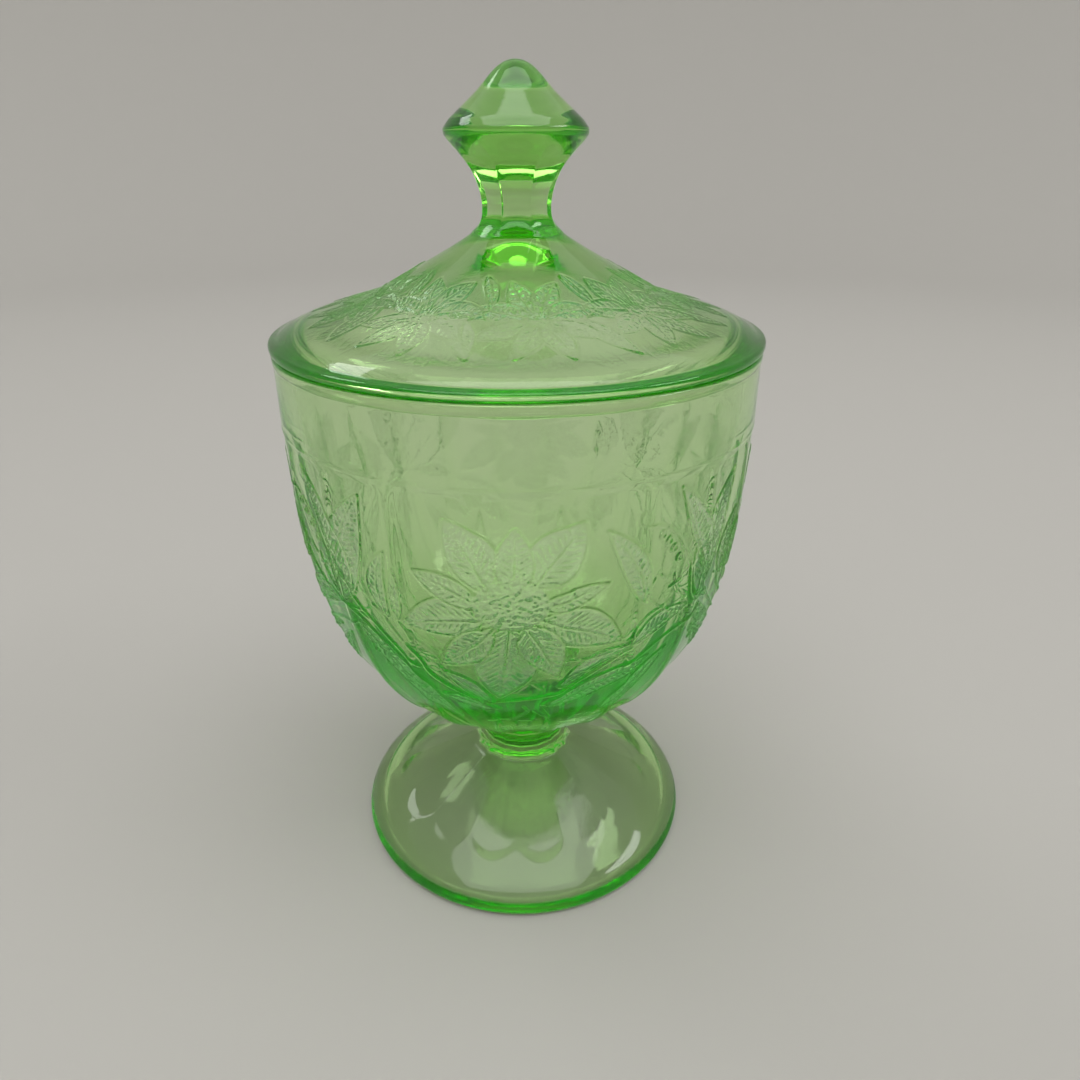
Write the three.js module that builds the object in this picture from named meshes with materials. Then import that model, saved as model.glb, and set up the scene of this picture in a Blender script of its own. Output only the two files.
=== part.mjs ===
// Covered candy dish in pressed green glass: a footed bowl and a lid with a pointed knob.
// Units are millimetres, +Z is up, and the origin is the centre of the ring the foot rests on.
// Each piece is one closed solid of revolution whose outside is then pressed into flat panels.

import * as THREE from "three";

// ---------------------------------------------------------------- driving dimensions

const REST_RING_INNER = 38.4; // the flat ring that the dish stands on
const REST_RING_OUTER = 41.9;
const FOOT_LIP_RADIUS = 1.6; // rounding of the foot's outer edge, outside the rest ring
const FOOT_HOLLOW_TOP = 17.2; // crown of the hollow under the foot
const COLLAR_RADIUS = 12.2; // stepped collar between the foot and the bowl
const COLLAR_BASE = 20.9;
const COLLAR_LEDGE = 23.4;
const STEM_RADIUS = 10.8;
const STEM_TOP_STEP = 27.6;
const BOWL_BASE_RADIUS = 12.4; // where the underside of the bowl leaves the collar
const BOWL_BASE = 40.6;
const BOWL_RADIUS = 51.2; // outside of the plain band under the rim
const BAND_BASE = 113; // panels stop here, and the plain band begins
const RIM_TOP = 129.1;
const RIM_WIDTH = 3.7; // wall thickness at the rim
const BOWL_FLOOR = 46.4; // lowest point inside the bowl

const LID_GAP = 0.3; // clearance between the lid's ledge and the rim
const LID_RADIUS = 51.6;
const LIP_HEIGHT = 1.7; // height of the lid's outer edge
const SKIRT_CLEARANCE = 0.9; // radial play of the locating ring inside the rim
const SKIRT_WIDTH = 1.8;
const SKIRT_DEPTH = 3.6;
const LID_HOLLOW_TOP = 145; // crown of the hollow under the knob
const NECK_RADIUS = 7.35; // narrowest part of the knob's neck
const GIRDLE_RADIUS = 14.2; // widest part of the knob
const GIRDLE_HEIGHT = 168.2;
const TOTAL_HEIGHT = 180;

const SEGMENTS = 80; // meridians of the bowl and foot
const LID_SEGMENTS = 48; // meridians of the lid
const BOWL_PANELS = 20;
const FOOT_PANELS = 16;
const FOOT_PANEL_TURN = THREE.MathUtils.degToRad(9); // turns the collar's corners to the right
const KNOB_PANELS = 8; // one of them faces the front

const GLASS_GREEN = 0x86c766;
const GLASS_ROUGHNESS = 0.05;

// ---------------------------------------------------------------- outline helpers

// The handles of the curves were fitted to the silhouettes in the photo.
// An outline is a list of [radius, height, panels, weight]: panels is the number of flats that the
// ring at that point is pressed into, and weight says how fully, from 0 (round) to 1 (flat).

function ring(radius, height, panels = 0, weight = 1) {
  return [radius, height, panels, weight];
}

function arc(centreRadius, centreHeight, radius, startDegrees, endDegrees, steps) {
  const points = [];
  for (let i = 0; i <= steps; i += 1) {
    const angle = THREE.MathUtils.degToRad(startDegrees + ((endDegrees - startDegrees) * i) / steps);
    points.push(ring(centreRadius + radius * Math.cos(angle), centreHeight + radius * Math.sin(angle)));
  }
  return points;
}

function bezier(start, handleA, handleB, end, steps) {
  const curve = new THREE.CubicBezierCurve(
    new THREE.Vector2(...start),
    new THREE.Vector2(...handleA),
    new THREE.Vector2(...handleB),
    new THREE.Vector2(...end),
  );
  return curve.getPoints(steps).map((point) => ring(point.x, point.y));
}

function pressed(points, panels, weight) {
  return points.map(([radius, height]) => ring(radius, height, panels, weight));
}

// Turns an outline round the vertical axis. Angle 0 faces the front, -Y, and grows towards +X.
// A pressed ring keeps its radius at the panel corners and is drawn in between them.
function revolve(outline, segments, turn) {
  const profile = outline.map(([radius, height]) => new THREE.Vector2(Math.max(radius, 0), height));
  const geometry = new THREE.LatheGeometry(profile, segments);
  const position = geometry.attributes.position;
  for (let index = 0; index < position.count; index += 1) {
    const [, , panels, weight] = outline[index % outline.length];
    if (panels === 0) continue;
    const meridian = Math.floor(index / outline.length);
    const panelAngle = (2 * Math.PI) / panels;
    const angle = (meridian / segments) * 2 * Math.PI - turn[panels];
    const fromCentre = angle - panelAngle * Math.round(angle / panelAngle);
    const flat = Math.cos(panelAngle / 2) / Math.cos(fromCentre);
    const scale = 1 - weight * (1 - flat);
    position.setX(index, position.getX(index) * scale);
    position.setZ(index, position.getZ(index) * scale);
  }
  geometry.rotateX(Math.PI / 2);
  geometry.computeVertexNormals();
  return geometry;
}

function glassPiece(name, geometry) {
  const material = new THREE.MeshStandardMaterial({
    color: GLASS_GREEN,
    roughness: GLASS_ROUGHNESS,
    metalness: 0,
  });
  const mesh = new THREE.Mesh(geometry, material);
  mesh.name = name;
  return mesh;
}

// ---------------------------------------------------------------- footed bowl

function footOutline() {
  const hollow = bezier([0, FOOT_HOLLOW_TOP], [12, 16.6], [30, 7], [REST_RING_INNER - 0.9, 1.1], 5);
  const lip = arc(REST_RING_OUTER, FOOT_LIP_RADIUS, FOOT_LIP_RADIUS, -90, 30, 3);
  const shoulder = bezier([42.7, 3.3], [40.6, 5.6], [38.4, 6.9], [35.6, 8.2], 2);
  const flutes = [ring(34.6, 8.8), ring(24, 14.3), ring(13.4, 20.1)];
  return [
    ...hollow,
    ring(REST_RING_INNER, 0),
    ...lip,
    ...shoulder,
    ...pressed(flutes, FOOT_PANELS, 1),
  ];
}

function collarOutline() {
  const steps = [
    ring(COLLAR_RADIUS, COLLAR_BASE),
    ring(COLLAR_RADIUS, COLLAR_LEDGE),
    ring(STEM_RADIUS, COLLAR_LEDGE + 0.3),
    ring(STEM_RADIUS, STEM_TOP_STEP),
    ring(BOWL_BASE_RADIUS - 0.6, STEM_TOP_STEP + 1.2),
    ring(BOWL_BASE_RADIUS - 0.4, BOWL_BASE - 0.8),
  ];
  return pressed(steps, FOOT_PANELS, 1);
}

function bowlOutline() {
  const underside = bezier([BOWL_BASE_RADIUS, BOWL_BASE], [32.3, 38.6], [52.3, 58.3], [51.3, 112.4], 10);
  const inner = BOWL_RADIUS - RIM_WIDTH;
  const rim = arc(BOWL_RADIUS - 1, RIM_TOP - 1, 1, 0, 90, 2);
  const wall = bezier([inner, RIM_TOP - 0.9], [49.6, 62], [29.5, 47.4], [0, BOWL_FLOOR], 9);
  return [
    ...pressed(underside, BOWL_PANELS, 1),
    ring(BOWL_RADIUS, BAND_BASE),
    ring(BOWL_RADIUS - 0.2, RIM_TOP - 3),
    ...rim,
    ring(inner + 0.9, RIM_TOP),
    ...wall,
  ];
}

const bowlTurns = {
  [BOWL_PANELS]: 0,
  [FOOT_PANELS]: FOOT_PANEL_TURN + Math.PI / FOOT_PANELS,
};
const bowlGeometry = revolve(
  [...footOutline(), ...collarOutline(), ...bowlOutline()],
  SEGMENTS,
  bowlTurns,
);

// ---------------------------------------------------------------- lid

function lidOutline() {
  const ledge = RIM_TOP + LID_GAP;
  const skirtOuter = BOWL_RADIUS - RIM_WIDTH - SKIRT_CLEARANCE;
  const skirtInner = skirtOuter - SKIRT_WIDTH;
  const skirtFoot = ledge - SKIRT_DEPTH;
  const inside = bezier([0, LID_HOLLOW_TOP], [5, LID_HOLLOW_TOP], [16, 140], [36, 131.4], 5);
  const skirt = [
    ring(skirtInner - 4.2, ledge + 0.9),
    ring(skirtInner - 0.8, ledge - 0.3),
    ring(skirtInner, skirtFoot + 0.6),
    ring(skirtInner + 0.5, skirtFoot),
    ring(skirtOuter - 0.7, skirtFoot),
    ring(skirtOuter - 0.2, skirtFoot + 0.6),
    ring(skirtOuter, ledge),
  ];
  const lipRadius = LIP_HEIGHT / 2;
  const lip = arc(LID_RADIUS - lipRadius, ledge + lipRadius, lipRadius, -90, 90, 3);
  const shoulder = bezier([49.9, ledge + 1.9], [46.6, 133.9], [41, 134.9], [30.5, 138.1], 4);
  const cone = bezier([28.6, 139], [20, 144], [12.5, 147.6], [9.6, 149.7], 3);
  const fillet = [ring(8.4, 151.1, KNOB_PANELS, 0.4), ring(7.6, 152.7, KNOB_PANELS, 0.8)];
  const neck = [
    ring(NECK_RADIUS, 154.4),
    ring(NECK_RADIUS + 0.3, 156.6),
    ring(8, 158.3),
    ring(9, 160.9),
  ];
  const lowerCone = [
    ring(10.4, 162.7, KNOB_PANELS, 0.9),
    ring(12.6, 165.4, KNOB_PANELS, 0.45),
    ring(GIRDLE_RADIUS - 0.3, GIRDLE_HEIGHT - 0.9),
  ];
  const upperCone = [
    ring(GIRDLE_RADIUS, GIRDLE_HEIGHT),
    ring(GIRDLE_RADIUS - 0.2, GIRDLE_HEIGHT + 0.8),
    ring(10.8, 172.2),
    ring(7.4, 174.9),
    ring(5.8, 176.5),
  ];
  const tip = bezier([4.6, 177.6], [3.2, 179], [1.6, TOTAL_HEIGHT], [0, TOTAL_HEIGHT], 3);
  return [
    ...inside,
    ...skirt,
    ...lip,
    ...shoulder,
    ...cone,
    ...fillet,
    ...pressed(neck, KNOB_PANELS, 1),
    ...lowerCone,
    ...upperCone,
    ...tip,
  ];
}

const lidGeometry = revolve(lidOutline(), LID_SEGMENTS, { [KNOB_PANELS]: 0 });

// ---------------------------------------------------------------- the dish

const dish = new THREE.Group();
dish.add(glassPiece("footed_bowl", bowlGeometry));
dish.add(glassPiece("lid", lidGeometry));

export default dish;
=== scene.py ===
import math

import bpy
import numpy as np
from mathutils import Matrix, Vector


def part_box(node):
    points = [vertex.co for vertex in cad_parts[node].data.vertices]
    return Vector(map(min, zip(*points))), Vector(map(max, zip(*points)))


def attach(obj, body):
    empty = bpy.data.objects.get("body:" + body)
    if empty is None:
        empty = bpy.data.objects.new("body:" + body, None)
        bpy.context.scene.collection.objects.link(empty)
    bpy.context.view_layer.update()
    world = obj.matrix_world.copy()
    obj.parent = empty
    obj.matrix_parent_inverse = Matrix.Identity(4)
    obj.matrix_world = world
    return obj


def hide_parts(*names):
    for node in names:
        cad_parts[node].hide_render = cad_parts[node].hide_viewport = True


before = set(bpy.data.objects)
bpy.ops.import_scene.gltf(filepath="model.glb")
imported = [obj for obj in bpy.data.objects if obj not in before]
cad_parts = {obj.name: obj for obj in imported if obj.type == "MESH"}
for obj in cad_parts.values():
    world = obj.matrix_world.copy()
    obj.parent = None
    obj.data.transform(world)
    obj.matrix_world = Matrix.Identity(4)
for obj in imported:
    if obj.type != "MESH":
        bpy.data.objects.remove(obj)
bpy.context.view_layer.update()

# Covered candy dish in pressed green glass. Lengths are millimetres until a mesh is made of them;
# only the lights and the camera are placed in metres. Angles round the dish start at the front, -Y,
# and grow towards +X.

MM = 0.001
TURN = 2 * math.pi

# ---------------------------------------------------------------- sizes

BOWL_HIGH = np.array(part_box("footed_bowl")[1]) / MM
LID_LOW, LID_HIGH = (np.array(corner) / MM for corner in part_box("lid"))

RIM_TOP = BOWL_HIGH[2]
BOWL_RADIUS = BOWL_HIGH[0]
LID_RADIUS = LID_HIGH[0]
TOTAL_HEIGHT = LID_HIGH[2]
LEDGE = RIM_TOP + 0.3  # underside of the lid's lip
SKIRT_FOOT = LID_LOW[2]  # lower edge of the lid's locating ring

# These repeat driving dimensions of the CAD.
REST_RING_INNER = 38.4  # the flat ring that the dish stands on
REST_RING_OUTER = 41.9
FOOT_LIP_RADIUS = 1.6  # rounding of the foot's outer edge
FOOT_HOLLOW_TOP = 17.2  # crown of the hollow under the foot
COLLAR_RADIUS = 12.2  # stepped collar between the foot and the bowl
COLLAR_LEDGE = 23.4
STEM_RADIUS = 10.8
STEM_TOP_STEP = 27.6
BOWL_BASE_RADIUS = 12.4  # where the underside of the bowl leaves the collar
BOWL_BASE = 40.6
RIM_WIDTH = 3.7  # wall thickness at the rim
BOWL_FLOOR = 46.4  # lowest point inside the bowl
BAND_BASE = 113.0  # where the plain band begins in the CAD
LIP_HEIGHT = 1.7  # height of the lid's outer edge
SKIRT_CLEARANCE = 0.9  # radial play of the locating ring inside the rim
SKIRT_WIDTH = 1.8
LID_HOLLOW_TOP = 145.0  # crown of the hollow under the knob
NECK_RADIUS = 7.35  # narrowest part of the knob's neck
GIRDLE_RADIUS = 14.2  # widest part of the knob
GIRDLE_HEIGHT = 168.2
BOWL_PANELS = 20
FOOT_PANELS = 16
KNOB_PANELS = 8
KNOB_TURN = 0.0  # a facet faces the front

# These are not in the CAD, or not the same there.
SEAM = BAND_BASE + 1.6  # the fine line under the plain band
BOWL_TURN = math.radians(1.5)  # middle of the front panel; the CAD has it at 0
FOOT_TURN = math.radians(9)  # middle of a flute; the CAD has a corner between two flutes there
FLOOR_LEVEL = -0.15  # just clear of the foot, so that glass and floor don't share a surface

PATTERN_RADIUS = 50.0  # the bowl pattern is drawn on a drum of this radius
PATTERN_DEPTH = 66.0  # how far below the seam the embossing reaches, along the wall
LID_PATTERN_OUTER = 45.0
LID_PATTERN_INNER = 15.0
LID_FLOWER_RADIUS = 30.8
LID_FLOWER_TURN = -90 + 8  # degrees from +X to the first flower, a little right of the front
LID_EMBOSSING = 0.52  # the lid is embossed more shallowly than the bowl
LID_SATIN = 0.3  # and its leaves are less satin
FLOWERS_ROUND_BOWL = 4
FLOWERS_ROUND_LID = 9

COLUMNS_FINE = 1280  # round the patterned part of the bowl: 0.25 mm apart
COLUMNS_BOWL = 640  # round the rest of the outside of the bowl and foot
COLUMNS_INSIDE = 320  # round the smooth insides of the bowl and the foot
COLUMNS_LID = 960  # round the patterned part of the lid
COLUMNS_LID_PLAIN = 480
COLUMNS_LID_INSIDE = 240
ROW_STEP = 0.26  # between rows of the pattern

rng = np.random.default_rng(20)


# ---------------------------------------------------------------- outlines

def bezier(start, handle_a, handle_b, end, steps):
    t = np.linspace(0, 1, steps + 1)[:, None]
    a, b, c, d = (np.array(p, float) for p in (start, handle_a, handle_b, end))
    return (1 - t) ** 3 * a + 3 * t * (1 - t) ** 2 * b + 3 * t ** 2 * (1 - t) * c + t ** 3 * d


def arc(centre, radius, start, end, steps):
    angle = np.radians(np.linspace(start, end, steps + 1))
    return np.array(centre) + radius * np.stack([np.cos(angle), np.sin(angle)], 1)


def rounded(points, radius, steps=5):
    """A polyline of [radius, height] points whose inner corners are rounded off."""
    points = np.array(points, float)
    out = [points[0]]
    for before, corner, after in zip(points, points[1:], points[2:]):
        toward = before - corner
        away = after - corner
        cut = min(radius, 0.45 * np.hypot(*toward), 0.45 * np.hypot(*away))
        start = corner + toward / np.hypot(*toward) * cut
        end = corner + away / np.hypot(*away) * cut
        t = np.linspace(0, 1, steps + 1)[:, None]
        out.extend((1 - t) ** 2 * start + 2 * t * (1 - t) * corner + t ** 2 * end)
    out.append(points[-1])
    return np.array(out)


def arc_length(points):
    return np.concatenate([[0], np.cumsum(np.hypot(*np.diff(points, axis=0).T))])


def evenly(points, step):
    """The same outline with its points about step apart."""
    length = arc_length(points)
    count = max(2, int(round(length[-1] / step)) + 1)
    at = np.linspace(0, length[-1], count)
    return np.stack([np.interp(at, length, points[:, 0]), np.interp(at, length, points[:, 1])], 1)


def outline_normals(points):
    tangent = np.gradient(points, axis=0)
    tangent /= np.hypot(*tangent.T)[:, None] + 1e-12
    return np.stack([tangent[:, 1], -tangent[:, 0]], 1)


def smooth(value, low, high):
    """0 below low, 1 above high, with an easy curve between them."""
    t = np.clip((value - low) / (high - low), 0, 1)
    return t * t * (3 - 2 * t)


# ---------------------------------------------------------------- rings to a closed mesh

def angles(columns):
    return np.arange(columns) * TURN / columns


def from_panel_centre(theta, panels, turn):
    """Signed angle to the nearest panel's centre; a panel faces turn, and its corners are beside it."""
    pitch = TURN / panels
    return (theta - turn + pitch / 2) % pitch - pitch / 2


def flat_factor(theta, panels, turn):
    off_centre = from_panel_centre(theta, panels, turn)
    return math.cos(math.pi / panels) / np.cos(off_centre)


def revolve(points, columns, shape=None):
    """Rings of [x, y, z, stipple] for an outline. shape(theta, index) scales the radius of a ring."""
    theta = angles(columns)
    rings = []
    for index, (radius, height) in enumerate(points):
        factor = np.ones(columns) if shape is None else shape(theta, index)
        reach = radius * factor
        rings.append(np.stack([reach * np.sin(theta), -reach * np.cos(theta),
                               np.full(columns, height), np.zeros(columns)], 1))
    return rings


def displaced(points, columns, height, stipple=None):
    """Rings of an outline pushed out along its normals by height[row, column]."""
    theta = angles(columns)
    normals = outline_normals(points)
    stipple = np.zeros_like(height) if stipple is None else stipple
    rings = []
    for (radius, z), (across, up), push, grain in zip(points, normals, height, stipple):
        reach = radius + across * push
        rings.append(np.stack([reach * np.sin(theta), -reach * np.cos(theta), z + up * push, grain], 1))
    return rings


def strip_faces(start_a, count_a, start_b, count_b):
    """Faces between two rings: quads, or five-sided faces where one ring has half the columns."""
    if count_a == count_b:
        j = np.arange(count_a)
        k = (j + 1) % count_a
        return np.stack([start_a + j, start_a + k, start_b + k, start_b + j], 1)
    if count_a == 2 * count_b:
        j = np.arange(count_b)
        k = (j + 1) % count_b
        return np.stack([start_a + 2 * j, start_a + 2 * j + 1, start_a + (2 * j + 2) % count_a,
                         start_b + k, start_b + j], 1)
    j = np.arange(count_a)
    k = (j + 1) % count_a
    return np.stack([start_a + j, start_a + k, start_b + (2 * j + 2) % count_b,
                     start_b + 2 * j + 1, start_b + 2 * j], 1)


def mesh_from_rings(name, low_pole, rings, high_pole):
    """A closed mesh through the rings, capped by a fan at each end."""
    points = [np.array([(*low_pole, 0)])] + rings + [np.array([(*high_pole, 0)])]
    starts = np.concatenate([[0], np.cumsum([len(p) for p in points])])
    coordinates = np.concatenate(points)[:, :3] * MM
    groups = []
    first, last = len(rings[0]), len(rings[-1])
    j = np.arange(first)
    groups.append(np.stack([np.zeros(first, int), starts[1] + (j + 1) % first, starts[1] + j], 1))
    for i in range(1, len(rings)):
        groups.append(strip_faces(starts[i], len(points[i]), starts[i + 1], len(points[i + 1])))
    j = np.arange(last)
    groups.append(np.stack([np.full(last, starts[-2]), starts[-3] + j, starts[-3] + (j + 1) % last], 1))
    totals = np.concatenate([np.full(len(g), g.shape[1]) for g in groups])
    corners = np.concatenate([g.ravel() for g in groups])
    mesh = bpy.data.meshes.new(name)
    mesh.vertices.add(len(coordinates))
    mesh.vertices.foreach_set("co", coordinates.astype(np.float32).ravel())
    mesh.loops.add(len(corners))
    mesh.loops.foreach_set("vertex_index", corners.astype(np.int32))
    mesh.polygons.add(len(totals))
    loop_starts = np.concatenate([[0], np.cumsum(totals)[:-1]])
    mesh.polygons.foreach_set("loop_start", loop_starts.astype(np.int32))
    mesh.polygons.foreach_set("use_smooth", np.ones(len(totals), bool))
    mesh.update(calc_edges=True)
    mesh.validate()
    stipple = mesh.attributes.new("stipple", "FLOAT", "POINT")
    stipple.data.foreach_set("value", np.concatenate(points)[:, 3].astype(np.float32))
    piece = bpy.data.objects.new(name, mesh)
    bpy.context.scene.collection.objects.link(piece)
    return piece


# ---------------------------------------------------------------- embossed pattern

LINE_HEIGHT = 0.3
LINE_WIDTH = 0.2
VEIN_PITCH = 1.35
BEAD_HEIGHT = 0.3  # stamens
BEAD_RADIUS = 0.27
STIPPLE_HEIGHT = 0.045
PLATEAU = 0.03  # the inside of a leaf stands this far above the glass round it
LEAF_SWELL = 0.05  # and its middle this much more
LEAF_RISE, LEAF_FALL = 0.8, 1.05  # how fast a leaf widens from its base and narrows to its tip


class Relief:
    """Heights over scattered points x, y. Later leaves cover earlier ones."""

    def __init__(self, x, y, period=None):
        self.shape = x.shape
        self.x = x.ravel()
        self.y = y.ravel()
        self.height = np.zeros(self.x.size)
        self.grain = np.zeros(self.x.size)
        self.shifts = (0,) if period is None else (-period, 0, period)

    def near(self, centre, reach):
        for shift in self.shifts:
            x = self.x - centre[0] - shift
            y = self.y - centre[1]
            index = np.flatnonzero((abs(x) < reach) & (abs(y) < reach))
            if index.size:
                yield index, x[index], y[index]

    def leaf(self, base, tip, left, right, bend=0.0, veins=True):
        """A leaf or petal; left and right are its half widths, and bend curves its midrib."""
        axis = np.subtract(tip, base)
        length = math.hypot(*axis)
        axis = axis / length
        for index, x, y in self.near(base, length + max(left, right) + abs(bend) + 1):
            along = (x * axis[0] + y * axis[1]) / length
            side = y * axis[0] - x * axis[1]
            inner = np.clip(along, 0, 1)
            side = side - bend * 4 * inner * (1 - inner)
            widest = np.where(side > 0, left, right)
            width = widest * leaf_width(inner)
            slope = leaf_slope(widest, inner, length)
            gap = (width - abs(side)) / np.sqrt(1 + slope ** 2)
            inside = (along > 0) & (along < 1) & (gap > 0)
            fill = np.full(index.size, PLATEAU)
            ratio = abs(side) / (width + 0.05)
            fill += LEAF_SWELL * (1 - ratio ** 2)
            rib = LINE_HEIGHT * (1.3 - 0.5 * inner) * np.exp(-(side / (LINE_WIDTH * 1.2)) ** 2)
            fill = np.maximum(fill, rib * (along < 0.96))
            if veins:
                fill = np.maximum(fill, PLATEAU + vein_ticks(along * length, side, ratio, width))
            old = self.height[index]
            new = np.where(inside, fill, old)
            span = (along > 0) & (along < 1)
            edge = LINE_HEIGHT * np.exp(-(gap / LINE_WIDTH) ** 2) * span
            self.height[index] = np.maximum(new, edge)
            self.grain[index] = np.where(inside, smooth(gap, 0.1, 0.5), self.grain[index])

    def stroke(self, points, width=LINE_WIDTH, height=LINE_HEIGHT):
        points = np.array(points, float)
        for start, end in zip(points, points[1:]):
            step = end - start
            length = math.hypot(*step) + 1e-9
            step = step / length
            for index, x, y in self.near(start, length + 4 * width):
                along = np.clip(x * step[0] + y * step[1], 0, length)
                gap = np.hypot(x - along * step[0], y - along * step[1])
                ridge = height * np.exp(-(gap / width) ** 2)
                self.height[index] = np.maximum(self.height[index], ridge)

    def loop(self, centre, radius):
        for index, x, y in self.near(centre, radius + 4 * LINE_WIDTH):
            gap = np.hypot(x, y) - radius
            ridge = LINE_HEIGHT * np.exp(-(gap / LINE_WIDTH) ** 2)
            self.height[index] = np.maximum(self.height[index], ridge)

    def dots(self, centre, across, up, count):
        """Stamens: small round beads scattered in an ellipse."""
        turn = rng.uniform(0, TURN, count)
        reach = np.sqrt(rng.uniform(0, 1, count))
        across_at = centre[0] + across * reach * np.cos(turn)
        up_at = centre[1] + up * reach * np.sin(turn)
        for place in zip(across_at, up_at):
            for index, x, y in self.near(place, 4 * BEAD_RADIUS):
                bead = BEAD_HEIGHT * np.exp(-(x ** 2 + y ** 2) / BEAD_RADIUS ** 2)
                self.height[index] = np.maximum(self.height[index], bead)

    def clear(self, centre, across, up):
        """A smooth oval bed for the stamens, with a fine grain."""
        for index, x, y in self.near(centre, max(across, up) * 1.2):
            inside = (x / across) ** 2 + (y / up) ** 2 < 1
            self.height[index[inside]] = PLATEAU
            self.grain[index[inside]] = 1

    def finished(self, grain_field):
        """Heights with the grain added, and how satin the glass is: grainy between polished lines."""
        total = self.height + self.grain * grain_field.ravel()
        satin = self.grain * (1 - smooth(self.height, 0.13, 0.25))
        return total.reshape(self.shape), satin.reshape(self.shape)


def leaf_width(inner):
    """Half width along a leaf, 1 where it is widest."""
    widest = LEAF_RISE / (LEAF_RISE + LEAF_FALL)
    peak = widest ** LEAF_RISE * (1 - widest) ** LEAF_FALL
    return inner ** LEAF_RISE * (1 - inner) ** LEAF_FALL / peak


def leaf_slope(widest, inner, length):
    """How steeply the outline of a leaf runs away from its midrib."""
    step = 0.01
    ahead = leaf_width(np.clip(inner + step, 0, 1))
    behind = leaf_width(np.clip(inner - step, 0, 1))
    return np.clip(widest * (ahead - behind) / (2 * step * length), -2.5, 2.5)


def vein_ticks(along, side, ratio, width):
    """Short ticks on both sides of the midrib, slanting to the tip, each of its own length."""
    across = along - 0.75 * abs(side)
    number = np.floor(across / VEIN_PITCH)
    offset = (across / VEIN_PITCH - number - 0.5) * VEIN_PITCH
    chance = np.sin(number * 12.9898 + np.sign(side) * 3.7) * 43758.5453
    chance = chance - np.floor(chance)
    start = 0.16 + 0.12 * chance
    reach = 0.56 + 0.34 * chance
    within = smooth(ratio, start - 0.05, start + 0.05) * (1 - smooth(ratio, reach - 0.05, reach + 0.05))
    within = within * (width > 0.7) * (chance < 0.86)
    return 1.1 * LINE_HEIGHT * within * np.exp(-(offset / (0.9 * LINE_WIDTH)) ** 2)


def grain_noise(rows, columns, size):
    """Even noise that closes on itself, with grains size cells across."""
    noise = rng.standard_normal((rows, columns))
    fy = np.fft.fftfreq(rows)[:, None]
    fx = np.fft.rfftfreq(columns)[None, :]
    soft = np.exp(-2 * (math.pi * size) ** 2 * (fx ** 2 + fy ** 2))
    noise = np.fft.irfft2(np.fft.rfft2(noise) * soft, s=(rows, columns))
    return noise / noise.std()


def polar(centre, angle, length):
    return (centre[0] + length * math.cos(math.radians(angle)),
            centre[1] + length * math.sin(math.radians(angle)))


# The places in the pattern were picked out on the photo. They are in millimetres, across from
# the front and up from the seam, as if the bowl were unrolled from a drum of PATTERN_RADIUS.
# Each petal: base, tip, half width to the left of its midrib and to the right, bend of the midrib.
# They are drawn from the back of the flower to the front.
FLOWER_PETALS = (
    ((-4.6, -19.5), (-12.1, -5.8), 4.1, 4.9, -0.3),
    ((3.7, -19.0), (12.5, -6.3), 4.9, 4.8, 0.3),
    ((0.0, -21.0), (0.3, -6.8), 3.5, 3.5, 0),
    ((-5.5, -26.2), (-22.3, -29.6), 3.4, 5.4, 0),
    ((-5.8, -23.2), (-19.0, -17.0), 3.0, 2.6, 0),
    ((4.6, -23.8), (17.7, -19.8), 1.9, 2.2, 0),
    ((5.0, -26.4), (21.7, -34.6), 5.0, 3.8, 0.4),
    ((-1.0, -28.2), (-3.75, -48.3), 6.7, 6.6, 0.2),
    ((1.8, -27.8), (8.25, -41.3), 4.5, 4.3, 0.4),
    ((-3.9, -28.4), (-15.4, -39.4), 3.4, 3.5, 0.4),
)
STAMENS = (-0.6, -23.2)
STAMENS_ACROSS, STAMENS_UP = 7.0, 5.6


def bowl_flower(relief):
    for petal in FLOWER_PETALS:
        relief.leaf(*petal)
    relief.clear(STAMENS, STAMENS_ACROSS, STAMENS_UP)
    relief.dots(STAMENS, 0.95 * STAMENS_ACROSS, 0.95 * STAMENS_UP, 150)
    cup = np.radians(np.linspace(186, 354, 19))
    relief.stroke(np.stack([STAMENS[0] + STAMENS_ACROSS * np.cos(cup),
                            STAMENS[1] + STAMENS_UP * np.sin(cup)], 1))
    for lean, top in ((-2.0, 7.0), (0.3, 9.4), (1.8, 6.6)):
        x, y = STAMENS[0] + 0.5 * lean, STAMENS[1] - 1
        curl = bezier((x, y), (x + lean - 1.5, y + top), (x + lean + 2.4, y + 1.25 * top),
                      (x + lean + 1.2, y + 0.6 * top), 16)
        relief.stroke(curl, height=0.8 * LINE_HEIGHT)


# Leaves beside and under the flower: base, tip, left and right half width, bend.
BOWL_LEAVES = (
    ((-37.8, -30.0), (-28.8, -4.2), 3.7, 5.6, 3.0),
    ((-23.4, -29.6), (-22.8, -17.5), 1.6, 1.2, 0),
    ((-26.2, -30.0), (-24.4, -14.5), 2.5, 2.0, 2.2),
    ((25.4, -26.0), (16.5, -8.8), 2.6, 2.6, -1.5),
    ((43.4, -27.0), (31.5, -3.2), 0.9, 4.6, 0),
    ((24.0, -36.2), (38.5, -31.4), 3.2, 1.5, 0.4),
    ((6.5, -51.6), (30.5, -42.0), 2.6, 2.9, 0.6),
    ((21.5, -57.8), (35.8, -41.5), 2.6, 2.8, 0.4),
    ((-35.6, -34.6), (-14.6, -59.2), 3.2, 3.4, 0.6),
    ((8.8, -44.7), (15.4, -41.0), 1.2, 1.1, 0),
)
PLAIN_LEAVES = (
    ((-5.6, -49.0), (-15.6, -41.6), 1.7, 2.2, 0),
    ((9.4, -44.6), (25.0, -36.4), 2.6, 0.8, 0.8),
    ((-17.5, -49.3), (-3.8, -52.3), 1.2, 2.0, 0),
)
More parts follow.
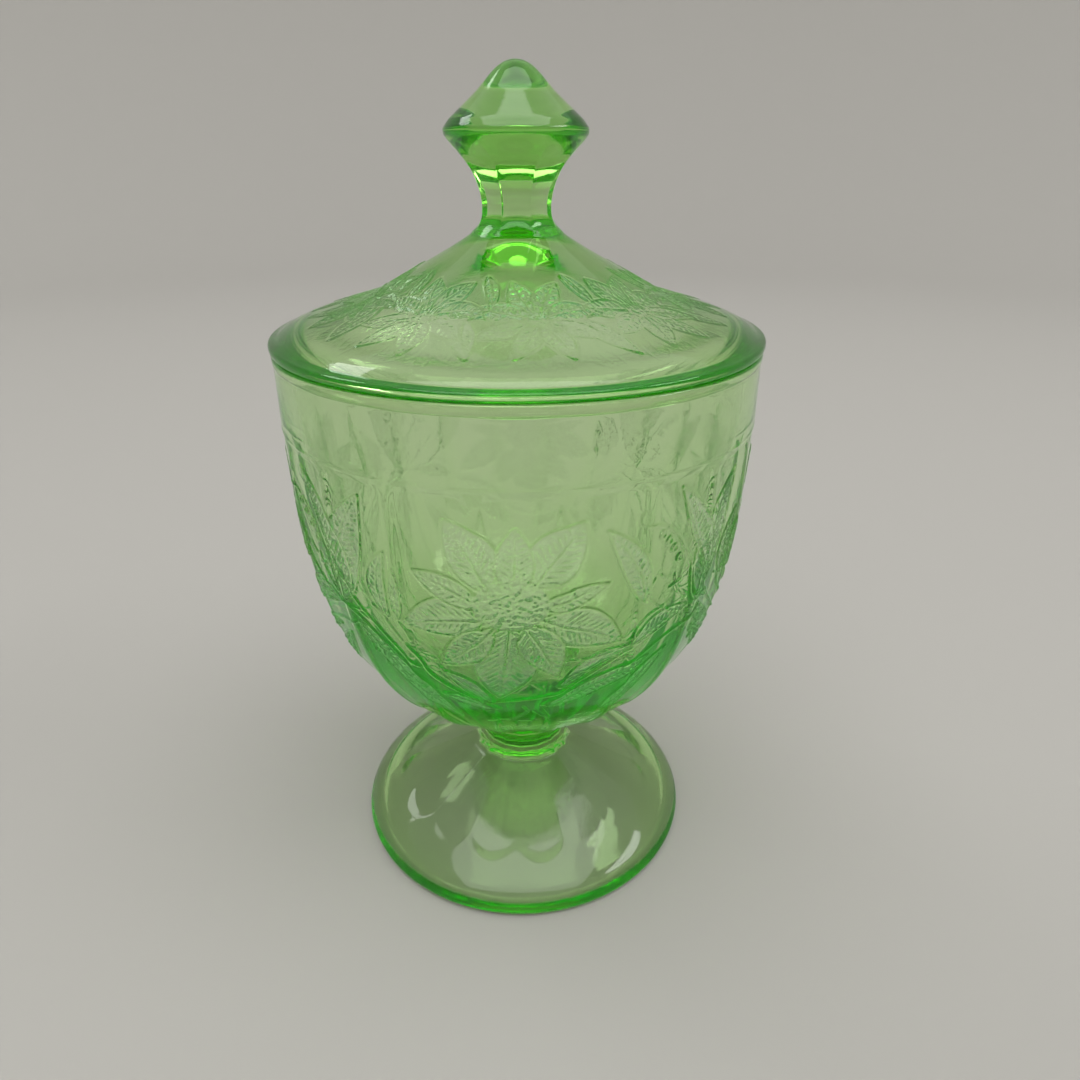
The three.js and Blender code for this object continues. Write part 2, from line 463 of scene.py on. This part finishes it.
# Stems and twigs, thickest first.
GARLAND_STEMS = (
    ((-22.6, -35.8), (-20.4, -38.6), (-19.3, -43.0), (-16.8, -45.5), (-13.0, -48.0), (-9.5, -49.2),
     (-6.0, -49.7), (-2.0, -49.6), (3.0, -49.0), (7.0, -47.8), (10.0, -46.4), (12.5, -44.7),
     (15.5, -42.8), (19.5, -40.3), (22.5, -38.1), (24.4, -37.1)),
    ((5.8, -51.3), (8.0, -49.0), (11.0, -47.2), (14.0, -45.8), (17.5, -44.4), (20.5, -42.9),
     (24.5, -41.9), (28.5, -40.6), (32.0, -38.8), (36.0, -37.4), (40.0, -36.2), (44.5, -34.0)),
    ((-37.8, -31.0), (-34.2, -33.8), (-31.0, -36.5), (-28.3, -39.5), (-25.5, -41.5), (-23.0, -43.4),
     (-21.0, -45.6), (-18.8, -48.6)),
    ((-35.8, -27.4), (-34.0, -30.2), (-31.5, -32.6), (-28.5, -35.5), (-25.5, -38.0), (-23.2, -40.6),
     (-20.8, -41.4)),
    ((36.8, -20.0), (37.3, -23.2), (38.0, -27.0), (38.9, -29.8), (40.6, -31.5), (46.0, -31.0)),
    ((26.0, -23.4), (27.0, -26.0), (28.6, -27.8), (30.2, -29.2), (33.0, -31.0), (36.4, -32.2)),
)
TWIGS = (
    ((-30.0, -28.3), (-27.3, -29.7), (-26.7, -31.6), (-23.6, -35.0)),
    ((-24.0, -29.6), (-22.2, -31.2), (-21.3, -34.0)),
    ((-34.5, -31.8), (-32.2, -32.9)),
    ((-35.0, -35.4), (-33.0, -38.0), (-30.4, -41.5), (-31.6, -45.6)),
    ((-33.8, -38.2), (-33.9, -42.4)),
    ((-29.6, -43.0), (-28.0, -45.2)),
    ((-27.2, -45.6), (-25.0, -48.6)),
    ((-27.0, -45.4), (-23.4, -46.2), (-21.0, -47.6)),
    ((10.0, -37.1), (13.5, -37.8), (17.0, -37.8), (20.5, -37.1), (24.2, -36.0), (24.2, -32.6),
     (25.6, -30.4), (28.0, -29.4), (31.0, -29.1)),
    ((24.2, -16.5), (23.3, -18.0), (24.2, -20.0)),
    ((25.8, -19.0), (24.7, -20.6), (25.8, -22.8)),
    ((27.5, -21.2), (26.0, -23.4)),
    ((29.0, -21.0), (31.0, -22.8)),
    ((32.7, -22.0), (33.0, -23.8)),
    ((31.8, -24.8), (34.6, -23.9)),
    ((33.3, -24.9), (34.3, -26.8), (35.6, -27.9), (37.4, -29.3)),
    ((29.2, -10.9), (31.2, -12.2), (33.2, -14.7), (34.6, -17.3), (36.6, -19.8)),
    ((23.3, -6.8), (22.8, -7.9), (23.5, -9.0), (24.9, -9.6), (26.5, -9.5), (28.2, -10.4)),
    ((-7.8, -58.6), (-4.6, -57.8), (-1.6, -58.3)),
    ((-1.4, -51.4), (-1.4, -58.0)),
    ((-0.9, -58.4), (0.8, -56.2), (2.9, -54.4), (1.4, -52.2)),
    ((0.0, -59.0), (3.2, -59.4)),
    ((4.0, -54.0), (5.6, -55.6), (7.6, -57.6)),
    ((6.4, -52.8), (8.0, -55.6)),
)
TENDRIL_RINGS = ((28.1, -12.0), (29.9, -13.8), (31.5, -15.9), (33.2, -18.4))


def softened(points):
    """The same line with its corners cut twice."""
    points = np.array(points, float)
    for _ in range(2):
        early = 0.75 * points[:-1] + 0.25 * points[1:]
        late = 0.25 * points[:-1] + 0.75 * points[1:]
        inner = np.stack([early, late], 1).reshape(-1, 2)
        points = np.concatenate([points[:1], inner[1:-1], points[-1:]])
    return points


def bowl_relief(theta, below_seam, period):
    columns = len(theta)
    x = np.broadcast_to(PATTERN_RADIUS * from_panel_centre(theta, FLOWERS_ROUND_BOWL, 0),
                        (len(below_seam), columns))
    y = np.broadcast_to(-below_seam[:, None], x.shape)
    relief = Relief(x, y, period)
    for leaf in PLAIN_LEAVES:
        relief.leaf(*leaf, veins=False)
    for leaf in BOWL_LEAVES:
        relief.leaf(*leaf)
    for number, stem in enumerate(GARLAND_STEMS):
        relief.stroke(softened(stem), LINE_WIDTH * (1.7 - 0.12 * number), 1.1 * LINE_HEIGHT)
    for twig in TWIGS:
        relief.stroke(softened(twig), 1.1 * LINE_WIDTH)
    for ring in TENDRIL_RINGS:
        relief.loop(ring, 0.75)
    bowl_flower(relief)
    return relief.finished(grain_noise(*x.shape, 1.15) * STIPPLE_HEIGHT)


# ---------------------------------------------------------------- footed bowl

def panel_recess(theta, radius, below_top):
    """Depth of the flat panels below the round surface: soft ribs between them and arched tops."""
    off_centre = abs(from_panel_centre(theta, BOWL_PANELS, BOWL_TURN))[None, :]
    radius = radius[:, None]
    below_top = below_top[:, None]
    from_rib = (math.pi / BOWL_PANELS - off_centre) * radius
    corner = 4.6  # radius of the panels' upper corners
    arch = corner - np.sqrt(np.clip(corner ** 2 - np.clip(corner - from_rib, 0, corner) ** 2, 0, None))
    sag = radius * (1 - math.cos(math.pi / BOWL_PANELS) / np.cos(off_centre))
    sides = smooth(from_rib, 0.2, 1.9)
    top = smooth(below_top - arch, 0, 1.8)
    share = 0.3 + 0.7 * smooth(below_top, 0, 14)  # shallow at their tops, truly flat 14 mm below
    return sides * top * (0.05 + sag * share)


def thinned(rings):
    """Rings that close in on the axis, outermost first: each drops every other point when they crowd."""
    keep = 1
    out = []
    for ring in rings:
        spacing = TURN * math.hypot(ring[0][0], ring[0][1]) * keep / len(ring)
        if spacing < 0.22 and len(ring) // keep > 20:
            keep *= 2
        out.append(ring[::keep])
    return out


def wavy(points, columns, depth, size):
    """Slow waves that fire polishing leaves on a smooth wall, as heights for displaced()."""
    noise = grain_noise(len(points), columns, size)
    radius = points[:, 0][:, None]
    return depth * noise * smooth(radius, 4, 20)


def foot_rings():
    hollow = bezier([0, FOOT_HOLLOW_TOP], [12, 16.6], [30, 7], [REST_RING_INNER - 0.9, 1.1], 40)[1:]
    heel = rounded([[REST_RING_INNER - 0.9, 1.1], [REST_RING_INNER, 0], [REST_RING_INNER + 2, 0]], 0.7)
    lip = arc((REST_RING_OUTER, FOOT_LIP_RADIUS), FOOT_LIP_RADIUS, -90, 30, 12)
    shoulder = bezier([43.2, 2.6], [41.8, 5.2], [38.8, 6.7], [35.4, 8.4], 14)
    slope = evenly(np.array([[34.9, 8.65], [24, 14.3], [14.2, 19.7]]), 0.6)
    top = evenly(rounded([[14.0, 19.8], [12.9, 20.4], [COLLAR_RADIUS + 0.1, 21.4]], 0.8), 0.3)
    flutes = np.concatenate([slope, top])

    def flute(theta, index):
        off_centre = abs(from_panel_centre(theta, FOOT_PANELS, FOOT_TURN)) * FOOT_PANELS / math.pi
        radius = flutes[index][0]
        arch_end = 35.2 - 3.4 * off_centre ** 2
        weight = smooth(arch_end - radius, 0, 1.6)
        return 1 - weight * (1 - flat_factor(theta, FOOT_PANELS, FOOT_TURN))

    under = thinned(revolve(hollow, COLUMNS_INSIDE)[::-1])[::-1] + revolve(heel[1:], COLUMNS_INSIDE)
    edge = revolve(np.concatenate([lip, shoulder]), COLUMNS_BOWL)
    return under + edge + revolve(flutes, COLUMNS_BOWL, flute)


def collar_rings():
    outline = rounded([
        [COLLAR_RADIUS, 21.5], [COLLAR_RADIUS, COLLAR_LEDGE], [STEM_RADIUS, COLLAR_LEDGE + 0.3],
        [STEM_RADIUS, STEM_TOP_STEP], [BOWL_BASE_RADIUS - 0.6, STEM_TOP_STEP + 1.2],
        [BOWL_BASE_RADIUS - 0.4, BOWL_BASE - 0.8], [BOWL_BASE_RADIUS + 0.3, BOWL_BASE],
    ], 0.45)

    def corners(theta, index):
        weight = 1 - smooth(outline[index][1], BOWL_BASE - 2.5, BOWL_BASE)
        return 1 - weight * (1 - flat_factor(theta, FOOT_PANELS, FOOT_TURN))

    return revolve(outline, COLUMNS_BOWL, corners)


def bowl_rings():
    curve = bezier([BOWL_BASE_RADIUS, BOWL_BASE], [32.3, 38.6], [52.3, 58.3], [51.3, 112.4], 400)
    outside = np.concatenate([evenly(curve, 0.1), [[BOWL_RADIUS, SEAM]]])
    length = arc_length(outside)
    below_seam = length[-1] - length
    plain = outside[below_seam > PATTERN_DEPTH]
    plain_rows = evenly(plain, 0.7)[1:-1]
    plain_below = np.interp(plain_rows[:, 1], outside[:, 1], below_seam)
    theta = angles(COLUMNS_BOWL)
    recess = panel_recess(theta, plain_rows[:, 0], plain_below)
    under = displaced(plain_rows, COLUMNS_BOWL, -recess)

    rows = evenly(outside[below_seam <= PATTERN_DEPTH], ROW_STEP)
    row_below = np.interp(rows[:, 1], outside[:, 1], below_seam)
    theta = angles(COLUMNS_FINE)
    cell = COLUMNS_FINE // FLOWERS_ROUND_BOWL
    period = TURN * PATTERN_RADIUS / FLOWERS_ROUND_BOWL
    embossed, stipple = (np.tile(field, (1, FLOWERS_ROUND_BOWL))
                         for field in bowl_relief(theta[:cell], row_below, period))
    embossed = embossed * smooth(PATTERN_DEPTH - row_below, 0.5, 3)[:, None]
    seam_height = 0.07
    line = seam_height * np.exp(-((row_below - 0.25) / 0.22) ** 2)[:, None]
    height = embossed + line - panel_recess(theta, rows[:, 0], row_below)
    patterned = displaced(rows, COLUMNS_FINE, height, stipple)

    band = evenly(np.array([[BOWL_RADIUS, SEAM + 0.3], [BOWL_RADIUS - 0.2, RIM_TOP - 2.2]]), 0.6)
    inner = BOWL_RADIUS - RIM_WIDTH
    rim = rounded([[BOWL_RADIUS - 0.2, RIM_TOP - 2.1], [BOWL_RADIUS, RIM_TOP - 1.5], [BOWL_RADIUS, RIM_TOP],
                   [inner, RIM_TOP], [inner, RIM_TOP - 2.2]], 1.0, 6)
    wall = bezier([inner, RIM_TOP - 2.3], [49.6, 62], [29.5, 47.4], [0, BOWL_FLOOR], 200)
    wall = evenly(wall, 1.0)[1:-1]
    inside = displaced(wall, COLUMNS_INSIDE, wavy(wall, COLUMNS_INSIDE, 0.05, 7))
    plain_band = displaced(band, COLUMNS_BOWL, wavy(band, COLUMNS_BOWL, 0.02, 9))
    return under + patterned + plain_band + revolve(rim, COLUMNS_BOWL) + thinned(inside)


# ---------------------------------------------------------------- lid

def lid_relief(theta, rows):
    """Heights and satin of the lid's pattern, laid out on the plan of the lid."""
    x = rows[:, 0][:, None] * np.sin(theta)[None, :]
    y = -rows[:, 0][:, None] * np.cos(theta)[None, :]
    relief = Relief(x, y)
    spacing = 360 / FLOWERS_ROUND_LID
    for number in range(FLOWERS_ROUND_LID):
        heading = LID_FLOWER_TURN + number * spacing
        between = heading + spacing / 2
        relief.leaf(polar((0, 0), between - 3, 19.5), polar((0, 0), between + 4, 28.0), 1.2, 1.3, 0.4)
        relief.leaf(polar((0, 0), between - 5, 31.0), polar((0, 0), between + 2, 43.8), 2.4, 2.2, -0.5)
    for number in range(FLOWERS_ROUND_LID):
        heading = LID_FLOWER_TURN + number * spacing
        centre = polar((0, 0), heading, LID_FLOWER_RADIUS)
        for step in (4, 3, 5, 2, 6, 1, 7, 0):
            angle = heading + 20 + 45 * step
            outward = math.cos(math.radians(angle - heading))
            length = 12.2 + 1.4 * outward
            relief.leaf(polar(centre, angle, 1.4), polar(centre, angle, length), 2.5, 2.6, 0.4)
        relief.clear(centre, 1.7, 1.7)
        relief.dots(centre, 1.4, 1.4, 12)
    height, stipple = relief.finished(grain_noise(*x.shape, 1.3) * STIPPLE_HEIGHT)
    return LID_EMBOSSING * height, LID_SATIN * stipple


def lid_rings():
    skirt_outer = BOWL_RADIUS - RIM_WIDTH - SKIRT_CLEARANCE
    skirt_inner = skirt_outer - SKIRT_WIDTH
    dome_under = bezier([0, LID_HOLLOW_TOP], [5, LID_HOLLOW_TOP], [16, 140], [36, 131.4], 60)
    turn_down = bezier([36, 131.4], [40, 129.7], [skirt_inner, 130], [skirt_inner, SKIRT_FOOT + 0.8], 24)
    inside = np.concatenate([dome_under[1:], turn_down[1:]])
    waves = wavy(inside, COLUMNS_LID_INSIDE, 0.04, 6)
    inside_rings = thinned(displaced(inside, COLUMNS_LID_INSIDE, waves)[::-1])[::-1]
    skirt = rounded([
        [skirt_inner, SKIRT_FOOT + 0.7], [skirt_inner + 0.2, SKIRT_FOOT], [skirt_outer - 0.1, SKIRT_FOOT],
        [skirt_outer, LEDGE], [LID_RADIUS, LEDGE],
        [LID_RADIUS, LEDGE + LIP_HEIGHT], [49.9, LEDGE + LIP_HEIGHT + 0.2],
    ], 0.8, 6)
    skirt = evenly(skirt[:-1], 0.25)
    shoulder = bezier([49.9, LEDGE + 1.95], [46.6, 133.9], [41, 134.9], [30.5, 138.1], 200)
    cone = bezier([30.3, 138.2], [21, 143.4], [12.5, 147.6], [9.6, 149.7], 200)
    dome = np.concatenate([evenly(shoulder, ROW_STEP), evenly(cone, ROW_STEP)[1:]])
    plain = dome[:, 0] > LID_PATTERN_OUTER
    near_neck = dome[:, 0] < LID_PATTERN_INNER
    rows = dome[~plain & ~near_neck]
    theta = angles(COLUMNS_LID)
    edge = smooth(rows[:, 0], LID_PATTERN_INNER, LID_PATTERN_INNER + 2)
    edge = edge * (1 - smooth(rows[:, 0], LID_PATTERN_OUTER - 1, LID_PATTERN_OUTER))
    height, stipple = lid_relief(theta, rows)
    patterned = displaced(rows, COLUMNS_LID, height * edge[:, None], stipple * edge[:, None])
    outer_zone = revolve(dome[plain][::2], COLUMNS_LID_PLAIN)
    inner_zone = revolve(dome[near_neck], COLUMNS_LID_PLAIN)
    skirt_rings = revolve(skirt, COLUMNS_LID_PLAIN)
    return inside_rings + skirt_rings + outer_zone + patterned + inner_zone + knob_rings()


def knob_rings():
    outline = rounded([
        [9.4, 149.9], [8.2, 151.2], [7.45, 153.2], [NECK_RADIUS, 155.2], [7.7, 157.4], [8.3, 159.3],
        [9.4, 161.5], [GIRDLE_RADIUS - 0.1, GIRDLE_HEIGHT - 0.7], [GIRDLE_RADIUS, GIRDLE_HEIGHT + 0.3],
        [GIRDLE_RADIUS - 1.2, GIRDLE_HEIGHT + 1.9], [7.4, 174.9], [5.2, 177.2],
    ], 0.5)
    outline = evenly(outline, 0.3)
    tip = bezier([4.9, 177.5], [3.4, 179.1], [1.8, TOTAL_HEIGHT], [0, TOTAL_HEIGHT], 16)[:-1]

    def corners(theta, index):
        height = outline[index][1]
        off_centre = abs(from_panel_centre(theta, KNOB_PANELS, KNOB_TURN)) * KNOB_PANELS / math.pi
        arch_top = GIRDLE_HEIGHT - 1.6 - 2.4 * off_centre ** 4
        weight = smooth(height, 150.2, 153) * smooth(arch_top - height, 0, 3.4)
        return 1 - weight * (1 - flat_factor(theta, KNOB_PANELS, KNOB_TURN))

    return revolve(outline, COLUMNS_LID_PLAIN, corners) + thinned(revolve(tip, COLUMNS_LID_PLAIN))


# ---------------------------------------------------------------- glass

GLASS_TINT = (0.985, 1.0, 0.95, 1)
GLASS_IOR = 1.5
BODY_COLOUR = (0.46, 0.91, 0.08, 1)
BODY_DENSITY = 75  # per metre: a centimetre takes about a third of the red and half of the blue
HAZE_RANGE = (0.02, 0.09)  # roughness of the cleanest and of the most handled patches
SATIN_ROUGHNESS = 0.13  # what the stippling adds to the roughness
SATIN_CLEARNESS = 0.87  # how far the stippling still acts as glass; the rest of it is matt


def glass_material(name):
    """Clear glass coloured through its depth, with handling haze, ripples and satin stippling."""
    material = bpy.data.materials.new(name)
    material.use_nodes = True
    nodes = material.node_tree.nodes
    links = material.node_tree.links
    nodes.clear()
    output = nodes.new("ShaderNodeOutputMaterial")
    surface = nodes.new("ShaderNodeBsdfPrincipled")
    surface.inputs["Base Color"].default_value = GLASS_TINT
    surface.inputs["Metallic"].default_value = 0
    surface.inputs["IOR"].default_value = GLASS_IOR
    links.new(surface.outputs["BSDF"], output.inputs["Surface"])

    place = nodes.new("ShaderNodeTexCoord")
    handling = nodes.new("ShaderNodeTexNoise")
    handling.inputs["Scale"].default_value = 90
    handling.inputs["Detail"].default_value = 4
    links.new(place.outputs["Object"], handling.inputs["Vector"])
    haze = nodes.new("ShaderNodeMapRange")
    haze.inputs["From Min"].default_value = 0.35
    haze.inputs["From Max"].default_value = 0.75
    haze.inputs["To Min"].default_value = HAZE_RANGE[0]
    haze.inputs["To Max"].default_value = HAZE_RANGE[1]
    links.new(handling.outputs["Fac"], haze.inputs["Value"])

    satin = nodes.new("ShaderNodeAttribute")
    satin.attribute_name = "stipple"
    frost = nodes.new("ShaderNodeMath")
    frost.operation = "MULTIPLY_ADD"
    frost.inputs[1].default_value = SATIN_ROUGHNESS
    links.new(satin.outputs["Fac"], frost.inputs[0])
    links.new(haze.outputs["Result"], frost.inputs[2])
    links.new(frost.outputs["Value"], surface.inputs["Roughness"])
    clear = nodes.new("ShaderNodeMapRange")
    clear.inputs["To Min"].default_value = 1.0
    clear.inputs["To Max"].default_value = SATIN_CLEARNESS
    links.new(satin.outputs["Fac"], clear.inputs["Value"])
    links.new(clear.outputs["Result"], surface.inputs["Transmission Weight"])

    ripple = nodes.new("ShaderNodeTexNoise")
    ripple.inputs["Scale"].default_value = 700
    ripple.inputs["Detail"].default_value = 3
    links.new(place.outputs["Object"], ripple.inputs["Vector"])
    bump = nodes.new("ShaderNodeBump")
    bump.inputs["Strength"].default_value = 0.25
    bump.inputs["Distance"].default_value = 0.00005
    links.new(ripple.outputs["Fac"], bump.inputs["Height"])
    links.new(bump.outputs["Normal"], surface.inputs["Normal"])

    body = nodes.new("ShaderNodeVolumeAbsorption")
    body.inputs["Color"].default_value = BODY_COLOUR
    body.inputs["Density"].default_value = BODY_DENSITY
    links.new(body.outputs["Volume"], output.inputs["Volume"])
    return material


glass = glass_material("green_glass")


def finish_piece(piece, body, node):
    """The glass, and what the frame has to know about a piece."""
    piece.data.materials.append(glass)
    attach(piece, body)
    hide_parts(node)


bowl = mesh_from_rings(
    "footed_bowl_glass", (0, 0, FOOT_HOLLOW_TOP), foot_rings() + collar_rings() + bowl_rings(),
    (0, 0, BOWL_FLOOR))
finish_piece(bowl, "bowl_body", "footed_bowl")
lid = mesh_from_rings("lid_glass", (0, 0, LID_HOLLOW_TOP), lid_rings(), (0, 0, TOTAL_HEIGHT))
finish_piece(lid, "lid_body", "lid")


# ---------------------------------------------------------------- floor, light and camera

def plain_material(name, colour, roughness):
    material = bpy.data.materials.new(name)
    material.use_nodes = True
    surface = material.node_tree.nodes["Principled BSDF"]
    surface.inputs["Base Color"].default_value = (*colour, 1)
    surface.inputs["Roughness"].default_value = roughness
    surface.inputs["Specular IOR Level"].default_value = 0.2
    return material


def sweep_floor():
    """A flat floor that turns up into a round backdrop far outside the dish."""
    flat = 1100.0
    bend = 700
    top = 1500
    columns = 96
    outline = np.concatenate([
        np.stack([np.linspace(60, flat, 20), np.full(20, FLOOR_LEVEL)], 1),
        arc((flat, bend), bend, -90, 0, 16)[1:],
        [[flat + bend, top]],
    ])
    rings = revolve(outline, columns)
    points = [np.array([[0, 0, FLOOR_LEVEL, 0]])] + rings
    starts = np.concatenate([[0], np.cumsum([len(p) for p in points])])
    faces = [(0, 1 + (j + 1) % columns, 1 + j) for j in range(columns)]
    for i in range(1, len(rings)):
        strip = strip_faces(starts[i], columns, starts[i + 1], columns)
        faces.extend(tuple(map(int, face)) for face in strip)
    mesh = bpy.data.meshes.new("floor")
    mesh.from_pydata((np.concatenate(points)[:, :3] * MM).tolist(), [], faces)
    mesh.polygons.foreach_set("use_smooth", [True] * len(mesh.polygons))
    floor = bpy.data.objects.new("floor", mesh)
    bpy.context.scene.collection.objects.link(floor)
    mesh.materials.append(plain_material("floor_paper", (0.42, 0.41, 0.385), 0.7))


DISH_MIDDLE = (0, 0, 0.09)  # metres, as are the lights' places and sizes


def soft_light(name, place, width, height, power):
    light = bpy.data.lights.new(name, "AREA")
    light.shape = "RECTANGLE"
    light.size = width
    light.size_y = height
    light.energy = power
    lamp = bpy.data.objects.new(name, light)
    lamp.location = place
    direction = np.subtract(DISH_MIDDLE, place)
    lamp.rotation_euler = Vector(direction).to_track_quat("-Z", "Y").to_euler()
    bpy.context.scene.collection.objects.link(lamp)


def studio():
    world = bpy.data.worlds.new("studio")
    bpy.context.scene.world = world
    world.use_nodes = True
    background = world.node_tree.nodes["Background"]
    background.inputs["Color"].default_value = (1, 0.99, 0.97, 1)
    background.inputs["Strength"].default_value = 0.62
    soft_light("window_right", (1.9, -0.25, 1.0), 1.3, 1.4, 32)
    soft_light("ceiling", (0.0, -0.45, 2.0), 2.4, 2.0, 30)
    soft_light("window_left", (-1.5, 1.0, 1.5), 0.9, 0.9, 9)


def camera():
    """The camera fitted to the photo: in front of the dish, a little lower than its tip, looking down."""
    look_down = math.radians(26.81)
    lens = bpy.data.cameras.new("camera")
    lens.sensor_width = 36
    lens.lens = 25.67
    lens.clip_start = 0.005
    view = bpy.data.objects.new("camera", lens)
    view.location = (0.0046, -0.1681, 0.1647)
    view.rotation_euler = (math.pi / 2 - look_down, 0, 0)
    bpy.context.scene.collection.objects.link(view)
    bpy.context.scene.camera = view


sweep_floor()
studio()
camera()

bpy.context.scene.view_settings.view_transform = "Standard"
bpy.context.scene.cycles.max_bounces = 32
bpy.context.scene.cycles.transmission_bounces = 32
bpy.context.scene.cycles.glossy_bounces = 32
